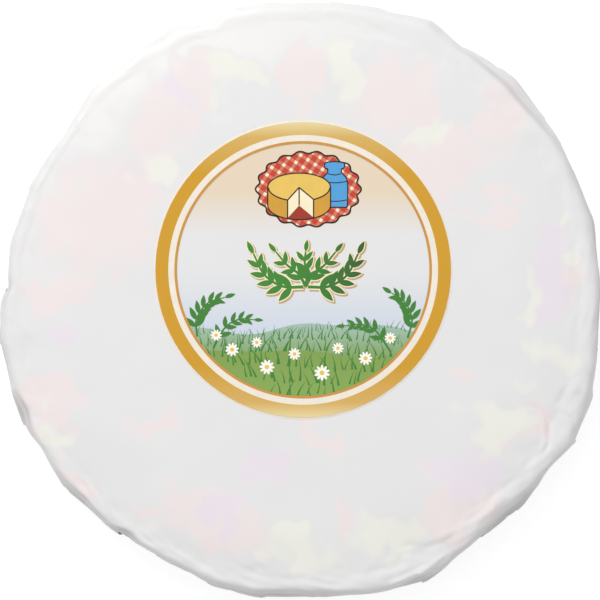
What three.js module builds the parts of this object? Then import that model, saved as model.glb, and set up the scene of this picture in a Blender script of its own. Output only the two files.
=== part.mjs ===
// A whole small brie in its shop wrap: a flat round cheese in white pearlised film, with a round label on top.
// The film lies smooth over the top, turns down over the rounded shoulder, gathers into pleats on the side
// and is folded flat under the wheel, where a round seal holds the ends of the pleats.
// Millimetres and degrees. +Z is up, the wheel lies on z = 0, and the label's picture has its top towards +Y.

import * as THREE from "three";
import { mergeVertices } from "three/addons/utils/BufferGeometryUtils.js";

// The cheese under its film
const HEIGHT = 31;
const MEAN_REACH = 104.3; // centre to film at half height, before the folds
const SHOULDER_RUN = 8.5; // the upper rounding, measured inwards
const SHOULDER_DROP = 8.5; // and downwards
const SHOULDER_POWER = 2.8; // 2 would round it as an ellipse does, more makes it squarer
const HEEL_RUN = 8; // the lower rounding, inwards
const HEEL_RISE = 7; // and upwards
const SIDE_BULGE = 1.0; // the side stands out this much at half height
const CROWN_START = 74; // the top is level out to here, then falls gently
const CROWN_DROP = 1.3;
const TOP_DENT = 0.35; // depth of the soft hollows in the top, outside the label

// The label and the seal
const LABEL_DIAMETER = 103;
const LABEL_THICKNESS = 0.25;
const LABEL_OFFSET = new THREE.Vector2(1.1, 10.4); // it was put on a little off the wheel's centre
const SEAL_DIAMETER = 72;
const SEAL_THICKNESS = 0.25;
const GLUE_GAP = 0.02;

// The film's folds, anticlockwise from +X: angle, reach at the fold, and the step across it.
// A positive step means that the film before the fold lies on top of the film after it.
const FOLDS = [
  [5, 104.5, 0.2],
  [16, 105.8, 0.2],
  [31, 105.8, -0.2],
  [45.5, 107.4, -0.2],
  [56.8, 104.8, 0.2],
  [65.5, 107.4, 0.2],
  [74, 105.0, -0.2],
  [84, 104.2, 0.2],
  [95, 103.8, -0.2],
  [104.2, 103.8, 0.5],
  [108.8, 101.0, -0.4],
  [114.3, 104.2, -0.2],
  [124.5, 102.8, 0.5],
  [135.2, 103.2, 0.2],
  [146.5, 100.4, -0.2],
  [157.5, 102.1, 0.2],
  [167.5, 102.7, -0.3],
  [178.5, 103.0, -0.9],
  [188.5, 105.5, 0.2],
  [197, 105.2, -0.2],
  [204.3, 105.7, 0.2],
  [211, 103.7, -0.2],
  [218.5, 104.8, 0.2],
  [231.8, 103.2, 0.2],
  [241, 101.9, -0.2],
  [252.3, 103.7, -0.3],
  [262, 104.5, 0.2],
  [272, 103.5, -0.2],
  [283, 104.9, -0.2],
  [293.5, 107.2, -0.2],
  [299.5, 105.2, 0.4],
  [308, 103.9, -0.2],
  [316.5, 105.2, -0.2],
  [325, 104.4, 0.2],
  [333, 107.5, 0.2],
  [341, 107.2, 0.2],
  [350, 105.0, 0.2],
];
const FOLD_WIDTH = 0.9; // degrees over which the film steps down at a fold
const PANEL_COLUMNS = 4; // points across each panel between two folds
const PANEL_BOW = 0.4; // 0 draws a panel straight from fold to fold, 1 bows it out to a full arc
const UNDER_RELIEF = 0.75; // depth of the folded pleats under the wheel
const UNDER_LEAN = 16; // degrees that the pleats have swung round by the time they reach the seal

const radians = THREE.MathUtils.degToRad;
const lerp = THREE.MathUtils.lerp;
const smooth = THREE.MathUtils.smoothstep;

// The film's columns round the wheel: each has its angle, its reach at half height, and how deep it lies
// under its neighbours, from 0 on top of a fold to 1 tucked beneath one.
function filmColumns() {
  const columns = [];
  FOLDS.forEach(([angle, reach, step], k) => {
    const [nextAngle, nextReach, nextStep] = FOLDS[(k + 1) % FOLDS.length];
    const start = angle + FOLD_WIDTH / 2;
    const end = (nextAngle > angle ? nextAngle : nextAngle + 360) - FOLD_WIDTH / 2;
    const startReach = reach - step;
    const endReach = nextReach + nextStep;
    for (let i = 0; i < PANEL_COLUMNS; i++) {
      const t = i / (PANEL_COLUMNS - 1);
      const at = lerp(start, end, t);
      columns.push({
        angle: at,
        reach: panelReach(at, start, startReach, end, endReach),
        tuck: lerp(step > 0 ? 1 : 0, nextStep > 0 ? 0 : 1, t),
      });
    }
  });
  return columns;
}

// The reach of a taut panel between its two folds: nearly a straight chord, bowed a little by the cheese.
function panelReach(at, start, startReach, end, endReach) {
  const whole = Math.sin(radians(end - start));
  const chord =
    (startReach * endReach * whole) /
    (startReach * Math.sin(radians(at - start)) + endReach * Math.sin(radians(end - at)));
  const arc = lerp(startReach, endReach, (at - start) / (end - start));
  return lerp(chord, arc, PANEL_BOW);
}

// The profile from the middle of the top to the middle of the underside. Each station has a distance from
// the axis, a height, how far it follows the folds' reach, and how far it shows the pleats' depth.
function filmProfile() {
  const stations = [];
  const add = (rho, z, follow, under = 0) => stations.push({ rho, z, follow, under });
  const inner = MEAN_REACH - SIDE_BULGE - SHOULDER_RUN;
  for (const rho of [0, 20, 38, 52, 63, CROWN_START]) add(rho, HEIGHT, 0);
  const crownSteps = 3;
  for (let i = 1; i <= crownSteps; i++) {
    const t = i / crownSteps;
    add(lerp(CROWN_START, inner, t), HEIGHT - CROWN_DROP * t * t, 0.12 * t);
  }
  const shoulderSteps = 6;
  const top = HEIGHT - CROWN_DROP;
  for (let i = 1; i <= shoulderSteps; i++) {
    const turn = radians((90 * i) / shoulderSteps);
    const outwards = Math.sin(turn) ** (2 / SHOULDER_POWER);
    const upwards = Math.max(Math.cos(turn), 0) ** (2 / SHOULDER_POWER);
    add(inner + SHOULDER_RUN * outwards, top - SHOULDER_DROP * (1 - upwards), lerp(0.12, 1, outwards));
  }
  const sideSteps = 4;
  for (let i = 1; i <= sideSteps; i++) {
    const t = i / sideSteps;
    add(
      MEAN_REACH - SIDE_BULGE + SIDE_BULGE * Math.sin(Math.PI * t),
      lerp(top - SHOULDER_DROP, HEEL_RISE, t),
      1,
    );
  }
  const heelSteps = 4;
  for (let i = 1; i <= heelSteps; i++) {
    const turn = radians((90 * i) / heelSteps);
    add(
      MEAN_REACH - SIDE_BULGE - HEEL_RUN * (1 - Math.cos(turn)),
      HEEL_RISE * (1 - Math.sin(turn)),
      1,
      i === heelSteps ? 1 : 0,
    );
  }
  const sealEdge = SEAL_DIAMETER / 2;
  for (const rho of [86, 74, 62, 50, sealEdge + 4]) add(rho, 0, rho / MEAN_REACH, 1);
  for (const rho of [sealEdge + 1.5, sealEdge / 2, 0]) add(rho, SEAL_THICKNESS + GLUE_GAP, 0);
  return stations;
}

// How far the top is sunk at a point: soft hollows outside the label, and level under it
function topDent(x, y) {
  const clear = LABEL_DIAMETER / 2 + 2;
  const away = Math.hypot(x - LABEL_OFFSET.x, y - LABEL_OFFSET.y);
  const waves = Math.sin(x / 13 + 1.2) * Math.cos(y / 17 - 0.4) + 0.6 * Math.sin((x + y) / 9 + 2);
  return TOP_DENT * smooth(away, clear, clear + 16) * Math.max(0, 1 + waves);
}

// The wrapped wheel: a lathed round, each of whose points is then moved to where the film's folds put it.
function wrappedWheel() {
  const columns = filmColumns();
  const profile = filmProfile();
  const outline = profile.map((p) => new THREE.Vector2(p.rho, p.z));
  const geometry = new THREE.LatheGeometry(outline.reverse(), columns.length).rotateX(Math.PI / 2);
  const position = geometry.getAttribute("position");
  const points = profile.length;
  for (let n = 0; n < position.count; n++) {
    const column = columns[Math.floor(n / points) % columns.length];
    const station = profile[points - 1 - (n % points)];
    const inward = 1 - station.rho / MEAN_REACH;
    const lean = station.under ? UNDER_LEAN * inward : 0;
    const angle = radians(column.angle + lean);
    const rho = station.rho + station.follow * (column.reach - MEAN_REACH);
    const x = rho * Math.cos(angle);
    const y = rho * Math.sin(angle);
    const dent = station.z > HEIGHT - CROWN_DROP - 0.01 && station.rho > 0 ? topDent(x, y) : 0;
    position.setXYZ(n, x, y, station.z - dent + station.under * UNDER_RELIEF * column.tuck);
  }
  geometry.deleteAttribute("normal");
  geometry.deleteAttribute("uv");
  return mergeVertices(geometry, 1e-3);
}

// A thin round disc, its lower face at the height given
function disc(diameter, thickness, bottom) {
  return new THREE.CylinderGeometry(diameter / 2, diameter / 2, thickness, 96)
    .rotateX(Math.PI / 2)
    .translate(0, 0, bottom + thickness / 2);
}

function finish(colour, roughness) {
  return new THREE.MeshStandardMaterial({ color: colour, roughness, metalness: 0 });
}

const film = finish(0xefedeb, 0.35);
const labelPrint = finish(0xe6d9ae, 0.3);
const sealPaper = finish(0xf4f3f0, 0.6);

const brie = new THREE.Group();

const wheel = new THREE.Mesh(wrappedWheel(), film);
wheel.name = "wrapped_wheel";
brie.add(wheel);

const label = new THREE.Mesh(disc(LABEL_DIAMETER, LABEL_THICKNESS, HEIGHT + GLUE_GAP), labelPrint);
label.name = "front_label";
label.position.set(LABEL_OFFSET.x, LABEL_OFFSET.y, 0);
brie.add(label);

const seal = new THREE.Mesh(disc(SEAL_DIAMETER, SEAL_THICKNESS, 0), sealPaper);
seal.name = "base_seal";
brie.add(seal);

// The origin is the middle of the wheel's outline on the surface it lies on
wheel.geometry.computeBoundingBox();
const middle = wheel.geometry.boundingBox.getCenter(new THREE.Vector3());
wheel.position.set(-middle.x, -middle.y, 0);

export default brie;
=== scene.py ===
# The looks of a whole small brie in its shop wrap: the pleated pearly film, the printed label and the seal.
# Lengths inside the functions are millimetres unless a name says otherwise; meshes are made in metres.
# +Z is up, the wheel lies on z = 0, and the label's picture has its top towards +Y.

import math
from functools import partial

import bpy
import numpy as np
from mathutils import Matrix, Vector


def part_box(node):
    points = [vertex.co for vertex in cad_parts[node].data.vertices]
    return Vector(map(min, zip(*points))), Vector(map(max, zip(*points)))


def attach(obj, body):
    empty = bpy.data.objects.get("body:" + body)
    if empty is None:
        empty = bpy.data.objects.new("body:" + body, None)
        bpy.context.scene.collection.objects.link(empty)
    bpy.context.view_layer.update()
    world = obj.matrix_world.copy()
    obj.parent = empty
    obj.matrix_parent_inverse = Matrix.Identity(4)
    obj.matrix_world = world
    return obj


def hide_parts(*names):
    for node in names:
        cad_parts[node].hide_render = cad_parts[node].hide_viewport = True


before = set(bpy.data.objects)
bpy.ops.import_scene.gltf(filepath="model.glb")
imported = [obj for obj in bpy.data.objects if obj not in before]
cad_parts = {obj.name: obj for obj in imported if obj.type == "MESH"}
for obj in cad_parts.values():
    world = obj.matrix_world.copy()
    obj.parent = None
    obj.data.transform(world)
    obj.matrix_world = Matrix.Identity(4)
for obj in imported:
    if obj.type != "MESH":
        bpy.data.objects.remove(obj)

bl_info = {
    "name": "Wrapped Brie Wheel",
    "version": (1, 0, 0),
    "blender": (4, 5, 0),
    "location": "View3D > Sidebar > Brie",
    "description": "Dresses a flat round cheese in pleated film, with a printed label and a paper seal",
    "category": "Add Mesh",
}

MM = 0.001
BODY = "root"
WHEEL_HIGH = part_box("wrapped_wheel")[1]
LABEL_LOW, LABEL_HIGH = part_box("front_label")
SEAL_LOW, SEAL_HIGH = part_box("base_seal")

WHEEL_HEIGHT = WHEEL_HIGH.z / MM
LABEL_RADIUS = (LABEL_HIGH.x - LABEL_LOW.x) / 2 / MM
LABEL_X = (LABEL_HIGH.x + LABEL_LOW.x) / 2 / MM
LABEL_Y = (LABEL_HIGH.y + LABEL_LOW.y) / 2 / MM
LABEL_BED = LABEL_LOW.z / MM
SEAL_RADIUS = (SEAL_HIGH.x - SEAL_LOW.x) / 2 / MM
ROUND_SIDES = 256  # of the label and its rings

# Print layers, from the paper up, each a hair above the last. The emblem shares none of its place with the
# meadow's and the garland's layers, so the two sets run side by side.
LAYER = 0.0135
GROUND, FAR_FIELD, NEAR_FIELD, CLOTH_LINE, CLOTH, CHURN_LINE = range(1, 7)
CHURN, CHEESE_LINE, CHEESE, CUT, EDGES, RINGS = range(7, 13)
SHADE, HALO, STEMS, LEAVES, PETALS, EYES = range(4, 10)


def srgb(hex_colour):
    """An sRGB hex colour as linear red, green and blue."""
    channels = [int(hex_colour[i : i + 2], 16) / 255 for i in (1, 3, 5)]
    return [c / 12.92 if c <= 0.04045 else ((c + 0.055) / 1.055) ** 2.4 for c in channels]


def span(name, description, millimetres):
    return bpy.props.FloatProperty(
        name=name, description=description, default=millimetres * MM, unit="LENGTH", precision=5
    )


def hue(name, description, hex_colour):
    return bpy.props.FloatVectorProperty(
        name=name, description=description, default=srgb(hex_colour), subtype="COLOR", size=3, min=0, max=1
    )


class WrapSettings(bpy.types.PropertyGroup):
    """The film round the wheel."""

    shoulder_run: span("Shoulder run", "Upper rounding, measured inwards", 7)
    shoulder_drop: span("Shoulder drop", "Upper rounding, measured downwards", 7)
    heel_run: span("Heel run", "Lower rounding, measured inwards", 8)
    heel_rise: span("Heel rise", "Lower rounding, measured upwards", 7)
    side_bulge: span("Side bulge", "How far the side stands out at half height", 0.5)
    crown_start: span("Crown start", "The top is level out to this distance", 74)
    crown_drop: span("Crown drop", "How far the top falls towards the shoulder", 1.3)
    hollow_depth: span("Hollow depth", "Depth of the soft hollows in the top", 0.22)
    tuck_depth: span("Tuck depth", "How far a folded edge stands out on the side", 0.7)
    flute_depth: span("Flute depth", "Depth of the gathers between the folds, low on the side", 0.4)
    pleat_depth: span("Pleat depth", "Depth of the folded pleats under the wheel", 0.75)
    wrinkle_height: span("Wrinkle height", "Height of the small creases at the rim", 0.32)
    seed: bpy.props.IntProperty(name="Seed", description="Picks the random creases", default=7, min=0)
    film_white: hue("Film", "The film's own pearly white", "#D9D8D8")
    film_pink: hue("Pink cloud", "Faint pink where the film lies on the rind", "#E0D5D5")
    film_yellow: hue("Yellow cloud", "Faint yellow beside the pink", "#DFDFD6")
    film_lilac: hue("Lilac cloud", "Faint lilac beside the pink", "#DCD3DB")
    # Painted shade: this grey stands in for shade on the rim and side turned from the key light, and in
    # creases.
    painted_shade_grey: hue("Gathered grey", "Where the gathered film stands off the cheese", "#9C9A99")
    # Painted light: this white stands in for light on the rim facing the key light, and for highlights on
    # some creases.
    painted_light_white: hue("Tight white", "Where the film is drawn tight and shows its own white", "#E0DFDE")


class LabelSettings(bpy.types.PropertyGroup):
    """The printed label on top."""

    thickness: span("Thickness", "Label paper's thickness", 0.08)
    gold_outer: span("Gold outside", "Outer radius of the gold band", 50.9)
    gold_inner: span("Gold inside", "Inner radius of the gold band", 46.5)
    line_outer: span("Line outside", "Outer radius of the thin ring", 44.4)
    line_inner: span("Line inside", "Inner radius of the thin ring", 43.5)
    paper: hue("Paper", "White of the label's paper", "#E3DBCD")
    gold: hue("Gold", "The gold band at its sides", "#C5921C")
    gold_light: hue("Light gold", "The gold band at top and bottom", "#DCCB96")
    ring_ink: hue("Ring ink", "The thin ring inside the gold band", "#C28A3A")
    sky_top: hue("Cream", "Ground of the picture at its top", "#DAC9B1")
    sky: hue("Grey white", "Ground of the picture at its middle", "#D8D8D8")
    haze: hue("Haze", "Pale blue behind the meadow", "#B4C4DA")
    meadow_far: hue("Far meadow", "Misty green of the far meadow", "#9DB8AB")
    meadow: hue("Near meadow", "Fresh green of the near meadow", "#789748")
    leaf: hue("Leaf", "Leaf green, also of the grass", "#357926")
    leaf_dark: hue("Dark leaf", "The garland's green at its darker side", "#2A5222")
    petal: hue("Petal", "White of the daisies", "#EFEDE4")
    cream: hue("Cream edge", "Halo round the garland, and the cheese's cut", "#EBDFBE")
    tan: hue("Tan shade", "Drop shade of the garland", "#B99A6E")
    red: hue("Red", "Red of the checked cloth", "#BE3820")
    yellow: hue("Yellow", "Yellow of the cheese's top", "#DDB858")
    amber: hue("Amber", "Yellow of the cheese's side", "#C8942F")
    blue: hue("Blue", "Blue of the milk churn", "#4A97CE")
    brown: hue("Brown", "Dark line round the drawn things", "#1E0C06")


class SealSettings(bpy.types.PropertyGroup):
    """The paper seal under the wheel."""

    paper: hue("Paper", "White of the seal's paper", "#F4F3F0")
    ring_ink: hue("Ring ink", "The plain ring printed near the seal's edge", "#D9A93F")


class StageSettings(bpy.types.PropertyGroup):
    """Floor, lights and camera."""

    camera_height: span("Camera height", "Camera above the floor", 1500)
    picture_width: span("Picture width", "Width of floor-level view at the rim's height", 209)
    floor: hue("Floor", "The plain floor before its own light", "#9A9A9A")


def settings_of(name):
    return getattr(bpy.context.scene, name)


# Shared modelling steps


def start_object_mode():
    """Leaves nothing selected, so that the next operator acts on its own piece alone."""
    if bpy.context.mode != "OBJECT":
        bpy.ops.object.mode_set(mode="OBJECT")
    bpy.ops.object.select_all(action="DESELECT")


def select_only(piece):
    start_object_mode()
    piece.select_set(True)
    bpy.context.view_layer.objects.active = piece


def edit_all(piece):
    """Opens a piece in edit mode with everything selected."""
    select_only(piece)
    bpy.ops.object.mode_set(mode="EDIT")
    bpy.ops.mesh.select_all(action="SELECT")


def name_new(name):
    piece = bpy.context.active_object
    piece.name = name
    piece.data.name = name
    return piece


def lay_points(piece, points):
    """Moves a piece's points to the places given in millimetres."""
    piece.data.vertices.foreach_set("co", np.asarray(points, dtype=float).ravel() * MM)
    piece.data.update()


def add_sheet(name, columns, rows):
    """A flat grid with the given number of points each way, row after row, to be laid in place."""
    start_object_mode()
    bpy.ops.mesh.primitive_grid_add(x_subdivisions=columns - 1, y_subdivisions=rows - 1, size=1)
    piece = name_new(name)
    if len(piece.data.vertices) != columns * rows:
        raise RuntimeError(f"{name}: the grid has {len(piece.data.vertices)} points")
    return piece


def add_patch(name, outline, height):
    """A flat field with the given outline, in millimetres: a filled circle whose points move onto it."""
    start_object_mode()
    bpy.ops.mesh.primitive_circle_add(vertices=len(outline), radius=1, fill_type="NGON")
    piece = name_new(name)
    lay_points(piece, [(x, y, height) for x, y in outline])
    edit_all(piece)
    bpy.ops.mesh.quads_convert_to_tris(quad_method="BEAUTY", ngon_method="BEAUTY")
    bpy.ops.object.mode_set(mode="OBJECT")
    return piece


def add_band(name, outer, inner, height, centre=(0, 0)):
    """A flat ring: the outer circle's edge is extruded and drawn in to the inner one."""
    start_object_mode()
    middle = (centre[0] * MM, centre[1] * MM, height * MM)
    bpy.ops.mesh.primitive_circle_add(vertices=ROUND_SIDES, radius=outer * MM, location=middle)
    piece = name_new(name)
    bpy.ops.object.transform_apply(location=True, rotation=False, scale=False)
    edit_all(piece)
    bpy.ops.mesh.extrude_edges_move()
    bpy.ops.transform.resize(value=(inner / outer, inner / outer, 1), center_override=middle)
    bpy.ops.mesh.select_all(action="SELECT")
    bpy.ops.mesh.normals_make_consistent(inside=False)
    bpy.ops.object.mode_set(mode="OBJECT")
    face_up(piece)
    return piece


def add_disc(name, radius, low, high, edge, centre=(0, 0), sides=ROUND_SIDES):
    """A thin disc between two heights, its edge rounded by the given share of its thickness."""
    start_object_mode()
    bpy.ops.mesh.primitive_cylinder_add(
        vertices=sides,
        radius=radius * MM,
        depth=(high - low) * MM,
        location=(centre[0] * MM, centre[1] * MM, (low + high) / 2 * MM),
    )
    piece = name_new(name)
    bpy.ops.object.transform_apply(location=True, rotation=False, scale=False)
    bevel = piece.modifiers.new("edge", "BEVEL")
    bevel.width = edge * (high - low) * MM
    bevel.segments = 3
    bpy.ops.object.modifier_apply(modifier=bevel.name)
    smooth(piece, 30)
    return piece


def turn_over(piece):
    edit_all(piece)
    bpy.ops.mesh.flip_normals()
    bpy.ops.object.mode_set(mode="OBJECT")


def face_up(piece):
    """Turns a flat piece's faces to look up."""
    if sum(face.normal.z for face in piece.data.polygons) < 0:
        turn_over(piece)


def join_pieces(name, pieces):
    start_object_mode()
    for piece in pieces:
        piece.select_set(True)
    bpy.context.view_layer.objects.active = pieces[0]
    bpy.ops.object.join()
    return name_new(name)


def smooth(piece, degrees):
    select_only(piece)
    bpy.ops.object.shade_smooth_by_angle(angle=math.radians(degrees))


def finish_piece(piece, material, slot, *nodes):
    """Gives a piece its material, lets it ride on the wheel, and hides the CAD solids it stands for."""
    piece.data.materials.clear()
    piece.data.materials.append(material)
    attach(piece, BODY)
    if nodes:
        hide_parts(*nodes)


def finish_print(piece, ink):
    """Finishes a piece of the label's print."""
    finish_piece(piece, ink, "label_print")


# Materials


def feed(material, node, inputs):
    """Gives a node's sockets their values, or links them to the sockets that feed them."""
    for name, value in inputs.items():
        if isinstance(value, bpy.types.NodeSocket):
            material.node_tree.links.new(value, node.inputs[name])
        else:
            node.inputs[name].default_value = value


def add_node(material, kind, inputs=None, stops=(), **settings):
    """Adds a shader node with its settings, its inputs, and the stops of its colour ramp."""
    node = material.node_tree.nodes.new("ShaderNode" + kind)
    for name, value in settings.items():
        setattr(node, name, value)
    feed(material, node, inputs or {})
    for index, (place, colour) in enumerate(stops):
        elements = node.color_ramp.elements
        element = elements[index] if index < 2 else elements.new(place)
        element.position = place
        element.color = [*colour, 1]
    return node


def start_material(name, **values):
    """A new principled material: itself, its shader with its own constant values, and add_node for it."""
    material = bpy.data.materials.new(name)
    material.use_nodes = True
    shader = material.node_tree.nodes["Principled BSDF"]
    feed(material, shader, {socket.replace("_", " "): value for socket, value in values.items()})
    return material, shader, partial(add_node, material)


def scale_of(millimetres):
    """A noise texture's scale for features of that size."""
    return 1 / (millimetres * MM)


def pearl_film(s):
    """Pearlised polypropylene film, stretched both ways: tiny voids turn it opaque white with a satin gloss.

    Where it lies on the rind it has faint pink, yellow and lilac clouds with ragged edges. Shade is painted
    into its colour, greyer on the rim and side turned from the key light, and light is painted whiter on the
    rim facing it."""
    material, shader, add = start_material("pearlised_polypropylene_film", Roughness=0.36, IOR=1.5)
    place = add("TexCoord").outputs["Object"]
    fields = add("Attribute", attribute_name=FILM_FIELDS, attribute_type="GEOMETRY")
    clouds = add("SeparateColor", {"Color": fields.outputs["Color"]})
    slow = add("TexNoise", {"Vector": place, "Scale": scale_of(30)})
    whites = [(0.3, [c * 0.98 for c in s.film_white]), (0.7, s.film_white)]
    colour = add("ValToRGB", {"Fac": slow.outputs["Fac"]}, whites).outputs["Color"]
    tones = []
    tints = (("Red", s.film_pink), ("Green", s.film_yellow), ("Blue", s.film_lilac))
    for seed, (channel, tint) in enumerate(tints, 1):
        inputs = {"Vector": place, "W": seed * 4.7, "Scale": scale_of(9), "Detail": 2, "Roughness": 0.5}
        ragged = add("TexNoise", inputs, noise_dimensions="4D")
        ground = add("Math", {0: clouds.outputs[channel], 1: ragged.outputs["Fac"]}, operation="ADD")
        inputs = {"Value": ground.outputs[0], "From Min": CLOUD_EDGE, "From Max": CLOUD_CORE}
        share = add("MapRange", {**inputs, "To Max": CLOUD_SHARE}, interpolation_type="SMOOTHSTEP")
        tones.append((share.outputs["Result"], tint))
    # The alpha's painted shade greys the film; below 0, its painted light whitens it.
    highlight_share = add("Math", {0: fields.outputs["Alpha"], 1: -1}, operation="MULTIPLY")
    tones += [(fields.outputs["Alpha"], s.painted_shade_grey), (highlight_share.outputs[0], s.painted_light_white)]
    for share, tone in tones:
        mix = add("Mix", {"Factor": share, "A": colour, "B": [*tone, 1]}, data_type="RGBA")
        colour = mix.outputs["Result"]
    inputs = {"Vector": place, "Scale": scale_of(6), "Detail": 4, "Roughness": 0.5, "Distortion": 0.8}
    crinkle = add("TexNoise", inputs).outputs["Fac"]
    bump = add("Bump", {"Height": crinkle, "Distance": 0.0001, "Strength": 0.4})
    feed(material, shader, {"Base Color": colour, "Normal": bump.outputs["Normal"]})
    return material


def start_ink(name):
    """Offset ink under a satin varnish, which lies in slow waves because the film under the label does."""
    material, shader, add = start_material(name, Roughness=0.34, Specular_IOR_Level=0.25)
    place = add("TexCoord").outputs["Object"]
    waves = add("TexNoise", {"Vector": place, "Scale": scale_of(14), "Detail": 2})
    bump = add("Bump", {"Height": waves.outputs["Fac"], "Distance": 0.0004, "Strength": 0.3})
    feed(material, shader, {"Normal": bump.outputs["Normal"]})
    return material, shader, add, place


def finish_ink(ink, share, stops):
    """Colours an ink with a ramp of tones."""
    material, shader, add, _ = ink
    ramp = add("ValToRGB", {"Fac": share}, stops)
    feed(material, shader, {"Base Color": ramp.outputs["Color"]})
    return material


def printed_ink(name, colour):
    """One even ink, with the slight mottle that it has on film."""
    *_, add, place = ink = start_ink(name)
    mottle = add("TexNoise", {"Vector": place, "Scale": scale_of(3), "Detail": 3})
    stops = [(0.3, [c * 0.97 for c in colour]), (0.7, [min(c * 1.03, 1) for c in colour])]
    return finish_ink(ink, mottle.outputs["Fac"], stops)


def graded_ink(name, axis, *tones):
    """Inks screened into each other along an axis, each tone at its distance from the label's middle."""
    *_, add, place = ink = start_ink(name)
    centred = add("Mapping", {"Vector": place, "Location": (-LABEL_X * MM, -LABEL_Y * MM, 0)})
    axes = add("SeparateXYZ", {"Vector": centred.outputs["Vector"]})
    low, high = tones[0][0], tones[-1][0]
    share = add("MapRange", {"Value": axes.outputs[axis], "From Min": low * MM, "From Max": high * MM})
    stops = [((at - low) / (high - low), colour) for at, colour in (tones[0], tones[-1], *tones[1:-1])]
    return finish_ink(ink, share.outputs["Result"], stops)


def checked_ink(s):
    """Gingham print: red bands both ways on cream, deeper where they cross."""
    *_, add, place = ink = start_ink("gingham_print_ink")
    turned = add("Mapping", {"Vector": place, "Rotation": (0, 0, math.radians(33))})
    axes = add("SeparateXYZ", {"Vector": turned.outputs["Vector"]})
    bands = []
    for axis in "XY":
        swing = add("Math", {0: axes.outputs[axis], 1: CHECK_SIZE * MM}, operation="PINGPONG")
        inputs = {0: swing.outputs[0], 1: CHECK_SIZE * MM * 0.36}
        bands.append(add("Math", inputs, operation="GREATER_THAN").outputs[0])
    crossing = add("Math", {0: bands[0], 1: bands[1]}, operation="ADD")
    half = add("Math", {0: crossing.outputs[0], 1: 0.5}, operation="MULTIPLY")
    middle = [r * 0.82 + c * 0.18 for r, c in zip(s.red, s.cream)]
    return finish_ink(ink, half.outputs[0], [(0, s.cream), (1, s.red), (0.5, middle)])


def seal_paper(s):
    """Uncoated wood-free label paper: matt, very slightly warm, with short pressed fibres."""
    material, shader, add = start_material("uncoated_label_paper", Roughness=0.75)
    place = add("TexCoord").outputs["Object"]
    inputs = {"Vector": place, "Scale": scale_of(1.2), "Detail": 5, "Distortion": 1.5}
    fibres = add("TexNoise", inputs).outputs["Fac"]
    shade = add("ValToRGB", {"Fac": fibres}, [(0.3, [c * 0.93 for c in s.paper]), (0.6, s.paper)])
    bump = add("Bump", {"Height": fibres, "Distance": 0.00005, "Strength": 0.4})
    feed(material, shader, {"Base Color": shade.outputs["Color"], "Normal": bump.outputs["Normal"]})
    return material


def pale_floor(s):
    """Matt white sweep card, lit a little from within so that it stays white round the wheel."""
    colours = {"Base_Color": [*s.floor, 1], "Emission_Color": (1, 1, 1, 1)}
    return start_material("matt_white_sweep", Roughness=0.9, Emission_Strength=0.75, **colours)[0]


# The film

FOLD_GAP = math.radians(1.5)  # points of the CAD's rim closer than this are the two sides of one fold
PANEL_POINTS = 20
FLAP_POINTS = 4
FLAT_HALF = 0.6  # half the width of film that a fold takes up before it closes
CLOSING_RUN = 6  # a fold closes over this length of the path
OVERLAP_SHARE = 0.7  # a flap covers at most this share of the panel beside it
SHOULDER_POWER = 4  # 2 would round the shoulder as an ellipse does, more makes it squarer
UNDER_LEAN = 16  # degrees that the pleats have swung round by the time they reach the seal
SHADED_SIDE = 292  # degrees: the side turned from the key light, where most shade is painted into the film's colour and its rim crinkles are tallest
LIT_SIDE, LIT_HALF = 118, 66  # degrees: the side facing the key light, where light is painted whitest, and how far round it fades
LIT_FROM, LIT_TO = 70, 90  # distances from the axis between which that painted light comes in on the top
EDGE_UP = 0.85  # the rim's edge is where the film faces up less than this
SIDE_SHADE = 0.5  # how grey the painted shade makes the side, most on the side turned from the key light
CRINKLE_HEIGHT = 0.17  # of the rim's soft crinkles
WAVE_HEIGHT = 0.2  # of the side's slow waves
CLOUD_EDGE, CLOUD_CORE, CLOUD_SHARE = 0.71, 1.34, 0.9  # where a cloud begins, is fullest, and its tint there

# Fields of waves: the share, length, squeeze along the film's path and seed of each
HOLLOWS = ((0.65, 38, 1, 11), (0.35, 17, 1, 12))
SIDE_WAVES = ((1, 15, 0.7, 13),)
CRINKLES = ((1, 11, 0.9, 19), (0.7, 6, 1.5, 20))
FLUTES = ((1, 9, 0.3, 17), (0.6, 5, 0.4, 18))
CLOUD_WARPS = (((5, 21, 1, 21), (2.2, 8, 1, 22)), ((5, 21, 1, 23), (2.2, 8, 1, 24)))  # along X and Y

FILM_FIELDS = "film_fields"  # pink, yellow and lilac clouds, and in alpha painted shade above 0 and painted light below 0


def wheel_rim():
    """The CAD wheel's widest ring: the angles of its points in order round the wheel, and their reach."""
    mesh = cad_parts["wrapped_wheel"].data
    points = np.empty(len(mesh.vertices) * 3)
    mesh.vertices.foreach_get("co", points)
    points = np.unique(np.round(points.reshape(-1, 3) / MM, 3), axis=0)
    reach = np.hypot(points[:, 0], points[:, 1])
    side = points[reach > reach.max() * 0.92]
    levels = np.unique(np.round(side[:, 2], 1))
    middle = levels[np.argmin(np.abs(levels - WHEEL_HEIGHT / 2))]
    ring = side[np.abs(side[:, 2] - middle) < 0.2]
    angle = np.arctan2(ring[:, 1], ring[:, 0]) % (2 * np.pi)
    order = np.argsort(angle)
    return angle[order], np.hypot(ring[:, 0], ring[:, 1])[order]


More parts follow.
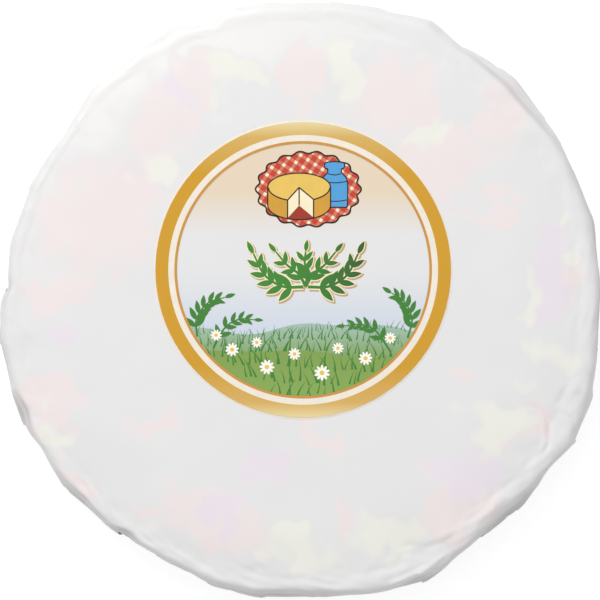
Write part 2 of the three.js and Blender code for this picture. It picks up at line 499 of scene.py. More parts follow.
class FilmColumns:
    """The film's columns of points round the wheel, each between a left and a right fold.

    A panel runs from one fold to the next. A flap runs back from a fold's outer crease to its inner one."""

    def __init__(self):
        angle, reach = wheel_rim()
        gap_after = (np.roll(angle, -1) - angle) % (2 * np.pi)
        ends = np.flatnonzero(gap_after < FOLD_GAP)
        starts = (ends + 1) % len(angle)
        self.folds = len(ends)
        self.fold_angle = angle[ends] + gap_after[ends] / 2
        on_top = reach[ends] > reach[starts]  # the film before the fold lies over the film after it
        spacing = (np.roll(self.fold_angle, -1) - self.fold_angle) % (2 * np.pi)
        self.fold_spacing = np.minimum(spacing, np.roll(spacing, 1))
        self.rim_angle, self.rim_reach = self.soften(angle, reach)
        self.mean_reach = self.rim_reach.mean()

        rows = []
        for k in range(self.folds):
            after = (k + 1) % self.folds
            start, end = float(on_top[k]), float(not on_top[after])
            for share in np.linspace(0, 1, PANEL_POINTS):
                rows.append((k, k + 1, -1, 1, share, start + (end - start) * share))
            for share in np.linspace(0, 1, FLAP_POINTS + 2)[1:-1]:
                rows.append((k + 1, k + 1, 1, -1, share, end + (float(on_top[after]) - end) * share))
        rows.append((self.folds, self.folds + 1, -1, 1, 0, rows[0][5]))
        left, right, self.left_sign, self.right_sign, self.share, self.tuck = np.array(rows).T
        left, right = left.astype(int), right.astype(int)
        self.left, self.right = left % self.folds, right % self.folds
        self.left_angle = self.fold_angle[self.left] + 2 * np.pi * (left // self.folds)
        self.right_angle = self.fold_angle[self.right] + 2 * np.pi * (right // self.folds)

    @staticmethod
    def soften(angle, reach):
        """The rim as the taut film shows it: the CAD's steps at the folds are rounded off."""
        fine = np.arange(1440) * 2 * np.pi / 1440
        line = np.interp(fine, angle, reach, period=2 * np.pi)
        away = np.minimum(np.arange(1440), 1440 - np.arange(1440))
        weight = np.exp(-0.5 * (away / 3.2) ** 2)
        soft = np.fft.irfft(np.fft.rfft(line) * np.fft.rfft(weight / weight.sum()), 1440)
        return fine, soft

    def between(self, per_fold):
        """A value given for each fold, carried across the columns between their two folds."""
        return per_fold[..., self.left] * (1 - self.share) + per_fold[..., self.right] * self.share

    def reach_at(self, angle):
        return np.interp(angle, self.rim_angle, self.rim_reach, period=2 * np.pi)


class FilmProfile:
    """The film's path from the middle of the top to the middle of the underside, through an even wheel.

    Each station has its distance from the axis, height, share of the rim's waves, and share of the pleats."""

    def __init__(self, s, mean_reach):
        crown_start, crown_drop = s.crown_start / MM, s.crown_drop / MM
        run, drop = s.shoulder_run / MM, s.shoulder_drop / MM
        heel_run, heel_rise = s.heel_run / MM, s.heel_rise / MM
        bulge = s.side_bulge / MM
        wall = mean_reach - bulge
        inner = wall - run
        top = WHEEL_HEIGHT - crown_drop
        seal_top = (SEAL_HIGH.z - SEAL_LOW.z) / MM + 0.05
        rows = [(rho, WHEEL_HEIGHT, 0, 0) for rho in np.linspace(0, crown_start, 38)]
        for t in np.linspace(0, 1, 40)[1:]:
            height = WHEEL_HEIGHT - crown_drop * t * t
            rows.append((crown_start + (inner - crown_start) * t, height, 0.12 * t, 0))
        ends = [len(rows)]
        for turn in np.linspace(0, math.pi / 2, 120)[1:]:
            outwards = math.sin(turn) ** (2 / SHOULDER_POWER)
            upwards = max(math.cos(turn), 0) ** (2 / SHOULDER_POWER)
            rows.append((inner + run * outwards, top - drop * (1 - upwards), 0.12 + 0.88 * outwards, 0))
        ends.append(len(rows))
        for t in np.linspace(0, 1, 40)[1:]:
            height = top - drop + (heel_rise - top + drop) * t
            rows.append((wall + bulge * math.sin(math.pi * t), height, 1, 0))
        ends.append(len(rows))
        for t in np.linspace(0, 1, 40)[1:]:
            turn = math.pi / 2 * t
            rows.append((wall - heel_run * (1 - math.cos(turn)), heel_rise * (1 - math.sin(turn)), 1, t * t))
        ends.append(len(rows))
        for rho in np.linspace(wall - heel_run, SEAL_RADIUS + 0.9, 60)[1:]:
            rows.append((rho, 0, rho / mean_reach, 1))
        ends.append(len(rows))
        for rho in np.linspace(SEAL_RADIUS + 0.4, 0, 20):
            rows.append((rho, seal_top, 0, 0))
        dense = np.array(rows)
        path = np.concatenate([[0], np.cumsum(np.hypot(np.diff(dense[:, 0]), np.diff(dense[:, 1])))])
        self.shoulder, self.side, self.heel, self.under, before_seal = path[np.array(ends) - 1]
        self.seal, end = path[ends[-1]], path[-1]
        stretches = (
            # up to, spacing in millimetres
            (36, 12),
            (self.shoulder - 4, 1.7),
            (self.shoulder, 0.8),
            (self.shoulder + 9, 0.45),
            (self.side, 0.8),
            (self.heel, 1.3),
            (self.under, 1.2),
            (before_seal, 5),
        )
        stations = [np.array([0.0])]
        at = 0.0
        for stop, spacing in stretches:
            count = max(1, round((stop - at) / spacing))
            stations.append(np.linspace(at, stop, count + 1)[1:])
            at = stop
        stations.append(np.linspace(self.seal, end, 5))
        self.path = np.concatenate(stations)
        columns = [np.interp(self.path, path, dense[:, i]) for i in range(4)]
        self.rho, self.z, self.follow, self.pleats = (column[:, None] for column in columns)
        ahead = [np.interp(self.path + 0.3, path, dense[:, i]) for i in range(2)]
        behind = [np.interp(self.path - 0.3, path, dense[:, i]) for i in range(2)]
        along = np.stack([ahead[0] - behind[0], ahead[1] - behind[1]])
        along /= np.maximum(np.hypot(*along), 1e-6)
        self.out, self.up = -along[1][:, None], along[0][:, None]
        self.path = self.path[:, None]


# Stretches of the rim whose upper edge is drawn in above a side that stands out:
# angle, half width in degrees, depth, height of the crease along the edge, less than 0 for a groove,
# shade painted along that crease, and shade painted on the film beyond it; below 0 either is painted light
DRAWN_IN = (
    (14, 19, 0.5, 0, 0, 0.6),
    (44, 15, 2.0, -0.25, 0.35, -0.2),
    (62, 6, 0.5, 0, 0, -0.2),
    (90, 26, 0.3, 0, 0, 0),
    (118, 6, 1.6, 0.3, -0.8, 0.6),
    (140, 10, 0.4, 0, 0, 0),
    (158, 12, 0.4, 0, 0, 0.2),
    (178, 4, 0.5, 0, 0.3, 0.5),
    (190, 8, 0.5, 0, 0, 0.4),
    (202, 5, 1.5, -0.25, 0.5, 0.7),
    (222, 9, 0.8, -0.2, 0.3, 0.6),
    (233, 4, 1.4, -0.2, 0.5, 0.8),
    (246, 9, 0.6, 0, 0, 0.5),
    (266, 19, 1.2, -0.1, 0.2, 0.65),
    (293, 7, 2.6, 0.4, -0.9, 0.35),
    (314, 12, 2.0, 0, 0.1, 0.65),
    (340, 12, 0.8, 0, 0, 0.05),
    (355, 9, 0.4, 0, 0, 0.5),
)

# Folds that open already at the rim, and how far beyond the shoulder's start; the rest open on the side
EARLY_FOLDS = {57: 6, 104: 8, 109: 6, 114: 8, 178: 5, 204: 8, 232: 7, 252: 9, 299: 7, 333: 9}

# Creases on the top and the shoulder, seen from above: height, width, and the points that they pass through
CREASES = (
    (-0.32, 0.9, ((76.9, -35.9), (82.3, -37.4), (86.2, -42.2), (86.2, -49.5), (81.8, -55.8))),
    (0.2, 0.8, ((82.7, -36.0), (84.3, -42.3), (84.2, -49.0), (82.8, -55.4))),
    (-0.25, 0.8, ((88.2, -38.3), (93.5, -40.8), (95.5, -44.2), (94.5, -47.6))),
    (0.65, 0.9, ((30.5, -98.0), (38.0, -95.4), (44.5, -92.0), (50.5, -87.6))),
    (0.3, 1.6, ((42.7, -84.1), (55.2, -80.0), (62.2, -75.1), (69.5, -68.5), (76.8, -64.3))),
    (-0.25, 0.7, ((-73.2, 70.6), (-71.7, 66.2))),
    (0.3, 1.5, ((-76.5, 63.0), (-74.0, 57.0))),
    (0.2, 1.2, ((-101.5, -4.5), (-95.0, -9.6), (-92.5, -13.0))),
    (-0.15, 1.0, ((-100.0, 24.5), (-98.8, 16.0))),
    (-0.3, 0.9, ((-75.6, -68.3), (-72.8, -70.8))),
    (0.15, 1.2, ((-88.0, -33.0), (-91.0, -40.0))),
    (0.18, 1.0, ((17.3, 91.0), (28.0, 89.5), (40.0, 86.3))),
    (-0.12, 1.2, ((45.0, 55.0), (50.0, 61.0), (58.0, 59.5))),
)


# Clouds on the top, tint by tint: place, half length, half width, and turn in degrees
CLOUDS = (
    (  # pink
        (-47, 61, 14, 12, 70), (-69, 30, 24, 17, 35), (-79, 3, 14, 5, 10), (-34, 77, 7, 6, 60),
        (0, 77, 11, 5, 100), (33, 70, 17, 12, 150), (46, 46, 22, 10, 20), (70, 62, 11, 6, 110),
        (63, 30, 13, 4, 15), (93, 8, 11, 4.5, 85), (79, -41, 10, 6, 95), (53, -72, 13, 11, 40),
        (-30, -77, 20, 9, 165), (-53, -69, 9, 4, 10), (-86, -36, 10, 7, 20), (-50, -40, 9, 3, 30),
        (7, -46, 7, 4, 75), (56, -24, 6, 3, 10), (-76, -60, 9, 4, 145), (13, -76, 7, 3, 95),
    ),
    (  # yellow
        (-23, 79, 12, 5, 0), (15, 81, 8, 7, 100), (-52, 46, 8, 6, 20), (45, 57, 7, 5, 30),
        (82, 2, 6, 3, 90), (92, 20, 5, 3, 0), (87, -21, 10, 7, 170), (69, -43, 9, 8, 20),
        (29, -81, 13, 6, 0), (0, -86, 13, 5, 170), (-87, -43, 6, 5, 90),
    ),
    (  # lilac
        (86, 15, 12, 4.5, 85), (88, 0, 6, 4, 90), (59, -59, 10, 7, 50), (-27, -73, 8, 4, 10),
        (-13, -59, 8, 3, 5), (-80, -14, 5, 4, 90), (-41, 75, 5, 3, 80),
    ),
)


def soft_waves(x, y, length, seed, count=14):
    """A smooth random field from about -1 to 1 whose waves are about the given length."""
    draw = np.random.default_rng(seed)
    total = np.zeros(np.broadcast(x, y).shape)
    for _ in range(count):
        heading = draw.uniform(0, 2 * np.pi)
        wave = length * draw.uniform(0.7, 1.6)
        phase = draw.uniform(0, 2 * np.pi)
        total += np.sin((x * np.cos(heading) + y * np.sin(heading)) * 2 * np.pi / wave + phase)
    return total / math.sqrt(count) / 1.4


def layered_waves(x, y, layers):
    """Several fields of waves added up."""
    return sum(share * soft_waves(x, y * squeeze, size, seed) for share, size, squeeze, seed in layers)


def smoothstep(value, low, high):
    """0 up to the low value, 1 from the high one on, and a smooth rise between them."""
    t = np.clip((value - low) / (high - low), 0, 1)
    return t * t * (3 - 2 * t)


def bell(away, half_width):
    """1 in the middle, falling smoothly to 0 at the half width."""
    return 0.5 + 0.5 * np.cos(np.pi * np.clip(np.abs(away) / half_width, 0, 1))


def turn_between(angle, centre):
    """Degrees from the centre to an angle, at most half a round either way."""
    return (angle - centre + 180) % 360 - 180


def line_relief(x, y, height, width, corners):
    """The relief of one crease through the given points, fading out towards its two ends."""
    corners = np.array(corners)
    lengths = np.hypot(*np.diff(corners, axis=0).T)
    before = np.concatenate([[0], np.cumsum(lengths)])
    nearest = np.full(x.shape, 1e9)
    place = np.zeros(x.shape)
    for (x0, y0), (x1, y1), length, start in zip(corners[:-1], corners[1:], lengths, before[:-1]):
        along = np.clip(((x - x0) * (x1 - x0) + (y - y0) * (y1 - y0)) / length**2, 0, 1)
        away = np.hypot(x - x0 - along * (x1 - x0), y - y0 - along * (y1 - y0))
        closer = away < nearest
        nearest = np.where(closer, away, nearest)
        place = np.where(closer, (start + along * length) / before[-1], place)
    fade = np.sqrt(np.clip(4 * place * (1 - place), 0, 1))
    return height * fade * np.exp(-((nearest / width) ** 2))


def random_creases(around, path, whole, profile, s):
    """Seeded short creases: some run from the rim onto the top, the rest cross the side and the underside."""
    draw = np.random.default_rng(s.seed)
    relief = np.zeros(around.shape)
    height = s.wrinkle_height / MM
    zones = (
        # count, first and last place on the path, lengths, widths, share of the height, widest turn
        (70, profile.shoulder - 2, profile.side - 3, (4, 12), (0.7, 1.3), 0.5, 40),
        (110, profile.side + 2, profile.heel + 2, (5, 14), (0.8, 1.5), 2.0, 50),
        (80, profile.heel, profile.seal - 6, (8, 26), (0.8, 1.6), 1.0, 18),
    )
    for count, low, high, lengths, widths, share, turn in zones:
        for _ in range(count):
            sideways = (around - draw.uniform(0, whole) + whole / 2) % whole - whole / 2
            down = path - draw.uniform(low, high)
            heading = math.radians(draw.uniform(-turn, turn))
            half = draw.uniform(*lengths) / 2
            width = draw.uniform(*widths)
            rise = height * share * draw.uniform(0.4, 1.0) * draw.choice([-1, 0.5])
            along = down * math.cos(heading) + sideways * math.sin(heading)
            across = sideways * math.cos(heading) - down * math.sin(heading)
            near = (np.abs(along) < half) & (np.abs(across) < 3 * width)
            fade = (1 - (along[near] / half) ** 2) ** 2
            relief[near] += rise * fade * np.exp(-((across[near] / width) ** 2))
    return relief


def fold_angles(columns, profile, s):
    """The angle of every point round the wheel, and how far each fold has closed at each station."""
    path, rho = profile.path, profile.rho
    draw = np.random.default_rng(s.seed + 1)
    begins = profile.side + draw.uniform(-2, 5, columns.folds)
    for degrees, beyond in EARLY_FOLDS.items():
        nearest = np.argmin(np.abs(turn_between(np.degrees(columns.fold_angle), degrees)))
        begins[nearest] = profile.shoulder + beyond
    closed = smoothstep(path, begins, begins + CLOSING_RUN)
    spare = math.pi * np.maximum(path - rho, 0) / columns.folds * columns.fold_spacing
    spare /= columns.fold_spacing.mean()
    flap = np.minimum(spare, OVERLAP_SHARE * columns.fold_spacing * np.maximum(rho, 1))
    overlap = -FLAT_HALF * (1 - closed) + closed * flap / 2
    leans = np.radians(draw.uniform(-1.6, 1.6, columns.folds)) * smoothstep(path, profile.side, profile.heel)
    turn_by = overlap / np.maximum(rho, 8)
    left_turn = columns.left_sign * turn_by[:, columns.left] + leans[:, columns.left]
    right_turn = columns.right_sign * turn_by[:, columns.right] + leans[:, columns.right]
    left_angle, right_angle = columns.left_angle + left_turn, columns.right_angle + right_turn
    inward = np.clip(1 - rho / columns.mean_reach, 0, 1)
    swing = math.radians(UNDER_LEAN) * np.where(profile.pleats > 0, inward, 0)
    return left_angle + (right_angle - left_angle) * columns.share + swing, closed


def draw_in_rim(reach, degrees, away_from_light, edge, profile):
    """Draws the film in along the rim's edge: its reach after that, the creases there, and the shade and
    highlights painted into its colour there.
    """
    path = profile.path
    beyond = np.clip((path - edge) / (profile.side + 3 - edge), 0, 1)
    ledge = smoothstep(path, profile.shoulder - 14, edge) * (1 - beyond)
    relief, tone = np.zeros((2, *reach.shape))
    # Each stretch paints shade into the tone along its crease and beyond it, and light where its values are
    # below 0.
    for centre, half_width, depth, crease, dark, grey in DRAWN_IN:
        here = bell(turn_between(degrees, centre), half_width)
        reach = reach - depth * here * ledge
        along_edge = np.sqrt(here) * np.exp(-(((path - edge) / 0.8) ** 2))
        relief = relief + crease * along_edge
        tone = tone + dark * along_edge + grey * np.sqrt(here) * smoothstep(path, edge + 0.5, edge + 2.5)
    tone = tone * (1 - smoothstep(path, profile.side - 2, profile.side + 5))
    # Painted shade: the rim and side are greyed, most on the side turned from the key light, less towards the
    # underside.
    side_shade = SIDE_SHADE * (0.55 + 0.45 * away_from_light) * smoothstep(path, edge + 2, profile.side)
    tone = tone + side_shade * (1 - 0.5 * smoothstep(path, profile.side, profile.under))
    return reach, relief, tone


def small_relief(x, y, angle, away_from_light, edge, mean_reach, profile, s):
    """The film's small forms one after another: how far each lifts every point off the smooth film."""
    path = profile.path
    heel = smoothstep(path, profile.heel, profile.under)
    from_label = np.hypot(x - LABEL_X, y - LABEL_Y)
    open_top = smoothstep(from_label, LABEL_RADIUS + 1, LABEL_RADIUS + 16)
    on_top = 1 - smoothstep(path, profile.shoulder - 2, profile.side)
    yield s.hollow_depth / MM * (layered_waves(x, y, HOLLOWS) - 0.7) * open_top * on_top
    whole = 2 * math.pi * mean_reach
    around = (angle * mean_reach) % whole
    on_side = smoothstep(path, profile.side - 6, profile.side + 2) * (1 - heel)
    yield WAVE_HEIGHT * layered_waves(around, path, SIDE_WAVES) * on_side
    on_rim = smoothstep(path, profile.shoulder - 9, profile.shoulder + 1)
    on_rim = on_rim * (1 - smoothstep(path, edge, profile.side))
    yield CRINKLE_HEIGHT * layered_waves(around, path, CRINKLES) * on_rim * (0.7 + 0.3 * away_from_light)
    gathered = smoothstep(path, profile.side + 5, profile.heel) * (1 - 0.6 * heel)
    flutes = layered_waves(around, path, FLUTES) - 0.8
    yield s.flute_depth / MM * flutes * gathered * (path < profile.seal - 6)
    yield random_creases(around, np.broadcast_to(path, around.shape), whole, profile, s)
    for height, width, corners in CREASES:
        yield np.where(path < profile.side, line_relief(x, y, height, width, corners), 0)


def cloud_shares(x, y, rho, degrees, above):
    """How far each point lies inside the three tints' clouds, and how much light is painted onto the top's
    outer part that faces the key light.
    """
    warp_x, warp_y = (layered_waves(x, y, layers) for layers in CLOUD_WARPS)
    clouds = np.zeros((3, *x.shape))
    for tint, places in enumerate(CLOUDS):
        for centre_x, centre_y, half_length, half_width, turn in places:
            turn = math.radians(turn)
            off_x, off_y = x + warp_x - centre_x, y + warp_y - centre_y
            along = off_x * math.cos(turn) + off_y * math.sin(turn)
            across = off_y * math.cos(turn) - off_x * math.sin(turn)
            inside = np.clip(1 - 0.45 * np.hypot(along / half_length, across / half_width) ** 2, 0, 1)
            clouds[tint] = np.maximum(clouds[tint], inside * above)
    lit_part = bell(turn_between(degrees, LIT_SIDE), LIT_HALF)
    painted_light = lit_part * smoothstep(rho + 1.5 * warp_x, LIT_FROM, LIT_TO) * above
    return clouds, painted_light * (1 - np.clip(2 * clouds.max(axis=0), 0, 1))


def film_points(s):
    """Where every point of the film lies, as rows of stations from the top's middle to the underside's,
    and its tones: the shares of the three clouds, and the shade and light painted into its colour."""
    columns = FilmColumns()
    profile = FilmProfile(s, columns.mean_reach)
    path, rho = profile.path, profile.rho
    angle, closed = fold_angles(columns, profile, s)
    degrees = np.degrees(angle) % 360
    away_from_light = np.cos(np.radians(degrees - SHADED_SIDE))  # 1 on the side turned from the key light, -1 on the side facing it
    edge = path[np.argmax(profile.up < EDGE_UP)]

    tucked = columns.tuck * columns.between(closed)
    on_side = smoothstep(path, profile.side - 6, profile.side + 2)
    on_side = on_side * (1 - smoothstep(path, profile.heel, profile.under))
    reach = rho + profile.follow * (columns.reach_at(angle) - columns.mean_reach)
    reach = reach - s.tuck_depth / MM * tucked * on_side
    reach, relief, tone = draw_in_rim(reach, degrees, away_from_light, edge, profile)
    x = reach * np.cos(angle)
    y = reach * np.sin(angle)
    z = profile.z + s.pleat_depth / MM * profile.pleats * tucked

    for part in small_relief(x, y, angle, away_from_light, edge, columns.mean_reach, profile, s):
        relief = relief + part
    relief = np.where((rho < 30) | (path >= profile.seal - 6), 0, relief)
    x = x + relief * profile.out * np.cos(angle)
    y = y + relief * profile.out * np.sin(angle)
    z = np.clip(z + relief * profile.up, 0, WHEEL_HEIGHT)
    clouds, painted_light = cloud_shares(x, y, rho, degrees, path < profile.heel)
    return np.stack([x, y, z], axis=-1), np.stack([*clouds, tone - painted_light], axis=-1)


def make_film(s):
    """The film: a flat sheet unrolled round the wheel, laid over it fold by fold, and welded at its seam."""
    points, fields = film_points(s)
    rows, columns = points.shape[:2]
    film = add_sheet("pearl_film", columns, rows)
    lay_points(film, points.reshape(-1, 3))
    attribute = film.data.attributes.new(FILM_FIELDS, "FLOAT_COLOR", "POINT")
    attribute.data.foreach_set("color", fields.ravel())
    edit_all(film)
    bpy.ops.mesh.remove_doubles(threshold=1e-7)
    bpy.ops.mesh.normals_make_consistent(inside=False)
    bpy.ops.object.mode_set(mode="OBJECT")
    smooth(film, 38)
    finish_piece(film, pearl_film(s), "film", "wrapped_wheel")


# The label. Its picture's places are millimetres from the label's middle.

CHECK_SIZE = 1.5  # width of the cloth's checks
PICTURE_RADIUS = 43.8
EMBLEM_X, EMBLEM_Y = 1.8, 27.8
GARLAND_X, GARLAND_Y = 0.9, 2.7
LINE_WIDTH = 0.45  # of the dark lines round the drawn things
LEAF_LENGTH, LEAF_WIDTH = 6, 2.3  # of the garland's leaf before it is scaled
BLADE_LENGTH, BLADE_HALF, BLADE_BEND = 6.5, 0.36, 1.5  # of a blade of grass: half its width, and its lean
PETAL_COUNT = 10

# Rows of grass: height on the picture, gap between blades, and how tall they are
GRASS_ROWS = (
    (-21.5, 1.5, 0.42),
    (-25, 1.4, 0.6),
    (-29, 1.6, 0.75),
    (-33.5, 1.9, 0.9),
    (-38, 2.2, 0.95),
    (-42, 2.4, 0.8),
)

# Daisies: place and size
DAISIES = (
    (-30, -22.5, 0.85),
    (-24.5, -27.5, 1.0),
    (-16, -25, 0.8),
    (-12.5, -33.5, 1.1),
    (-3, -29, 0.9),
    (6.5, -35.5, 1.15),
    (12, -27, 0.85),
    (21.5, -30.5, 1.0),
    (30, -23.5, 0.85),
)

# Boughs: the corners of each stem, how many pairs of leaves it bears, and their length
SPRAYS = (
    (((-36.5, -23), (-36.8, -17), (-33, -11.5), (-27, -9.5)), 6, 5.2),
    (((-31, -27), (-27, -20), (-22, -17), (-17, -17.2)), 5, 4.4),
    (((36, -23.5), (37.5, -17), (35, -11), (30.5, -8)), 6, 5.2),
    (((30, -28), (25, -21), (20, -18.8), (14.5, -19.2)), 5, 4.4),
)
BOUGHS = (
    (((0.8, -8.6), (8, -8.4), (14.3, -4.4), (18, 2.8)), 5, 6.6),
    (((-0.8, -8.6), (-8, -8.4), (-14.3, -4.4), (-18, 2.8)), 5, 6.6),
    (((0, -8.4), (-2.6, -4), (-6.5, -1), (-10.2, 3.4)), 3, 5.6),
    (((0, -8.4), (2.6, -4), (6.5, -1), (10.2, 3.4)), 3, 5.6),
    (((0, -8.4), (0.5, -4), (-0.4, 0), (0, 3.6)), 3, 5.6),
)


def layer_height(layer, s):
    """How high a layer of the print lies."""
    return LABEL_BED + s.thickness / MM + layer * LAYER


def make_label_sheet(s):
    """The label's own sheet: a disc with a thin rounded edge."""
    top = LABEL_BED + s.thickness / MM
    sheet = add_disc("label_sheet", LABEL_RADIUS, LABEL_BED, top, 0.35, (LABEL_X, LABEL_Y))
    finish_piece(sheet, printed_ink("varnished_label_paper", s.paper), "label_print", "front_label")


def make_rings(s):
    """The gold band, lighter at top and bottom, the white ring inside it and the thin ring."""
    edge = s.gold_outer / MM
    middle = [g * 0.7 + l * 0.3 for g, l in zip(s.gold, s.gold_light)]
    lower = [(-edge, s.gold_light), (-0.9 * edge, middle), (-0.65 * edge, s.gold)]
    upper = [(-place, tone) for place, tone in reversed(lower)]
    for name, outer, inner, ink in (
        ("gold_band", s.gold_outer, s.gold_inner, graded_ink("gold_yellow_ink", "Y", *lower, *upper)),
        ("white_ring", s.gold_inner, s.line_outer, printed_ink("ring_white_ink", s.paper)),
        ("thin_ring", s.line_outer, s.line_inner, printed_ink("amber_ink", s.ring_ink)),
    ):
        finish_print(add_band(name, outer / MM, inner / MM, layer_height(RINGS, s), (LABEL_X, LABEL_Y)), ink)


def ellipse(x, y, half_width, half_height, start=0, end=360, count=72):
    """Points along an ellipse, anticlockwise from one angle in degrees to another."""
    angles = np.radians(np.linspace(start, end, count, endpoint=end - start != 360))
    return [(x + half_width * math.cos(a), y + half_height * math.sin(a)) for a in angles]


def grown(outline, by):
    """An outline moved outwards, for the dark line round a field."""
    points = np.array(outline)
    along = np.roll(points, -1, axis=0) - np.roll(points, 1, axis=0)
    along /= np.linalg.norm(along, axis=1, keepdims=True)
    turning = np.sum(points[:, 0] * np.roll(points[:, 1], -1) - np.roll(points[:, 0], -1) * points[:, 1])
    outwards = np.stack([along[:, 1], -along[:, 0]], axis=1) * np.sign(turning)
    return (points + by * outwards).tolist()


def smooth_path(corners, count):
    """Points along a smooth curve through all its corners."""
    corners = np.array(corners, dtype=float)
    ends = [2 * corners[0] - corners[1], *corners, 2 * corners[-1] - corners[-2]]
    path = []
    for at in np.linspace(0, len(corners) - 1, count):
        k = min(int(at), len(corners) - 2)
        t = at - k
        a, b, c, d = ends[k : k + 4]
        square, cube = 2 * a - 5 * b + 4 * c - d, 3 * b - a - 3 * c + d
        path.append(0.5 * (2 * b + (c - a) * t + square * t**2 + cube * t**3))
    return np.array(path)


def print_patch(name, outline, layer, s):
    """A field of the print, placed on the label."""
    patch = add_patch(name, [(x + LABEL_X, y + LABEL_Y) for x, y in outline], layer_height(layer, s))
    face_up(patch)
    return patch


def print_stroke(name, corners, start_width, end_width, layer, s, count=14):
    """A drawn line that widens or narrows from one end to the other."""
    path = smooth_path(corners, count)
    along = np.gradient(path, axis=0)
    sideways = np.stack([-along[:, 1], along[:, 0]], axis=1) / np.linalg.norm(along, axis=1, keepdims=True)
    half = np.linspace(start_width, end_width, count)[:, None] / 2
    stroke = add_sheet(name, 2, count)
    sides = np.stack([path - sideways * half, path + sideways * half], axis=1) + (LABEL_X, LABEL_Y)
    lay_points(stroke, [(x, y, layer_height(layer, s)) for x, y in sides.reshape(-1, 2)])
    face_up(stroke)
    return stroke


def place_copy(piece, x, y, turn, size, layer, s):
    """A copy of a piece drawn at the origin, with its own mesh, turned and placed on the label."""
    select_only(piece)
    bpy.ops.object.duplicate(linked=False)
    copy = bpy.context.active_object
    copy.scale = (size[0], size[1], 1)
    copy.rotation_euler.z = math.radians(turn)
    copy.location = ((x + LABEL_X) * MM, (y + LABEL_Y) * MM, layer_height(layer, s) * MM)
    bpy.ops.object.transform_apply(location=True, rotation=True, scale=True)
    face_up(copy)
    return copy


def remove_piece(piece):
    select_only(piece)
    bpy.ops.object.delete()


def leaf_outline(length, width, count=11):
    """A pointed leaf from the origin along +X."""
    t = np.linspace(0, 1, count)
    half = width / 2 * np.sin(np.pi * t**0.85) ** 0.9
    upper = list(zip(length * t, half))
    lower = list(zip(length * t[1:-1], -0.9 * half[1:-1]))
    return upper + lower[::-1]


def meadow_outline(level, *waves):
    """Ground below a rolling line, down to the picture's round edge."""
    x = np.linspace(-PICTURE_RADIUS, PICTURE_RADIUS, 90)
    y = level + sum(height * np.sin(x / length + start) for height, length, start in waves)
    inside = np.hypot(x, y) < PICTURE_RADIUS
    top = list(zip(x[inside], y[inside]))
    left, right = (math.atan2(y, x) for x, y in (top[0], top[-1]))
    foot = np.linspace(right, left, 60)
    below = [(PICTURE_RADIUS * math.cos(a), PICTURE_RADIUS * math.sin(a)) for a in foot]
    return top + below[1:-1]


def make_meadow(s):
    """The picture's ground and, along its foot, two rolling meadows with grass and daisies."""
    pale_haze = [(a + 4 * b) / 5 for a, b in zip(s.haze, s.sky)]
    light = [min(c * 1.12, 1) for c in s.meadow]
    disc = ellipse(0, 0, PICTURE_RADIUS, PICTURE_RADIUS, count=128)
    sky = ((-34, s.haze), (-8, pale_haze), (0, s.sky), (12, s.sky), (27, s.sky_top), (44, s.sky_top))
    far = meadow_outline(-20, (1.6, 11, 0.5), (0.8, 5, 2))
    near = meadow_outline(-29, (1.4, 14, 2.6), (0.6, 6, 1))
    for name, outline, layer, tones in (
        ("picture_ground", disc, GROUND, sky),
        ("far_meadow", far, FAR_FIELD, ((-31, s.meadow), (-18, s.meadow_far))),
        ("near_meadow", near, NEAR_FIELD, ((-43, light), (-28, s.meadow))),
    ):
        finish_print(print_patch(name, outline, layer, s), graded_ink(name + "_ink", "Y", *tones))

    draw = np.random.default_rng(5)
    blade = add_sheet("blade", 2, 6)
    sides = [(t, side * (BLADE_HALF * (1 - t) + 0.04)) for t in np.linspace(0, 1, 6) for side in (-1, 1)]
    lay_points(blade, [(BLADE_BEND * t * t + away, BLADE_LENGTH * t, 0) for t, away in sides])
    blades = []
    for row, (level, gap, tall) in enumerate(GRASS_ROWS):
        reach = math.sqrt(PICTURE_RADIUS**2 - level**2) - 1.5
        for x in np.arange(-reach, reach, gap):
            x = x + draw.uniform(-0.5, 0.5) * gap
            y = level + 1.4 * math.sin(x / 12 + row) + draw.uniform(-0.7, 0.7)
            height = tall * draw.uniform(0.7, 1.25)
            lean = draw.uniform(-24, 24)
            size = (height * draw.choice((-1, 1)), height)
            blades.append(place_copy(blade, x, y, lean, size, NEAR_FIELD + 0.3 + 0.6 * draw.random(), s))
    remove_piece(blade)
    finish_print(join_pieces("grass_blades", blades), printed_ink("grass_green_ink", s.leaf))

    petal = add_patch("petal", ellipse(1.45, 0, 0.95, 0.42, count=12), 0)
    petals, eyes = [], []
    for k, (x, y, size) in enumerate(DAISIES):
        for n in range(PETAL_COUNT):
            turn = 360 / PETAL_COUNT * n + 11 * k
            petals.append(place_copy(petal, x, y, turn, (size, size), PETALS + 0.05 * n, s))
        eyes.append(print_patch(f"eye_{k}", ellipse(x, y, 0.75 * size, 0.7 * size, count=16), EYES, s))
    remove_piece(petal)
    finish_print(join_pieces("daisy_petals", petals), printed_ink("warm_white_ink", s.petal))
    finish_print(join_pieces("daisy_eyes", eyes), printed_ink("egg_yellow_ink", s.yellow))


def leaf_places(corners, pairs, length):
    """Where the leaves of a bough sit: two at each joint along it, and one at its tip."""
    path = smooth_path(corners, 60)
    places = []
    for k in range(pairs):
        at = int(59 * (0.2 + 0.75 * k / pairs))
        ahead = math.degrees(math.atan2(*(path[at + 1] - path[at])[::-1]))
        size = length * (1 - 0.3 * k / pairs)
        places += [(*path[at], ahead + side * (46 - 3 * k), size) for side in (-1, 1)]
    tip = math.degrees(math.atan2(*(path[-1] - path[-2])[::-1]))
    return [*places, (*path[-1], tip, length * 0.75)]


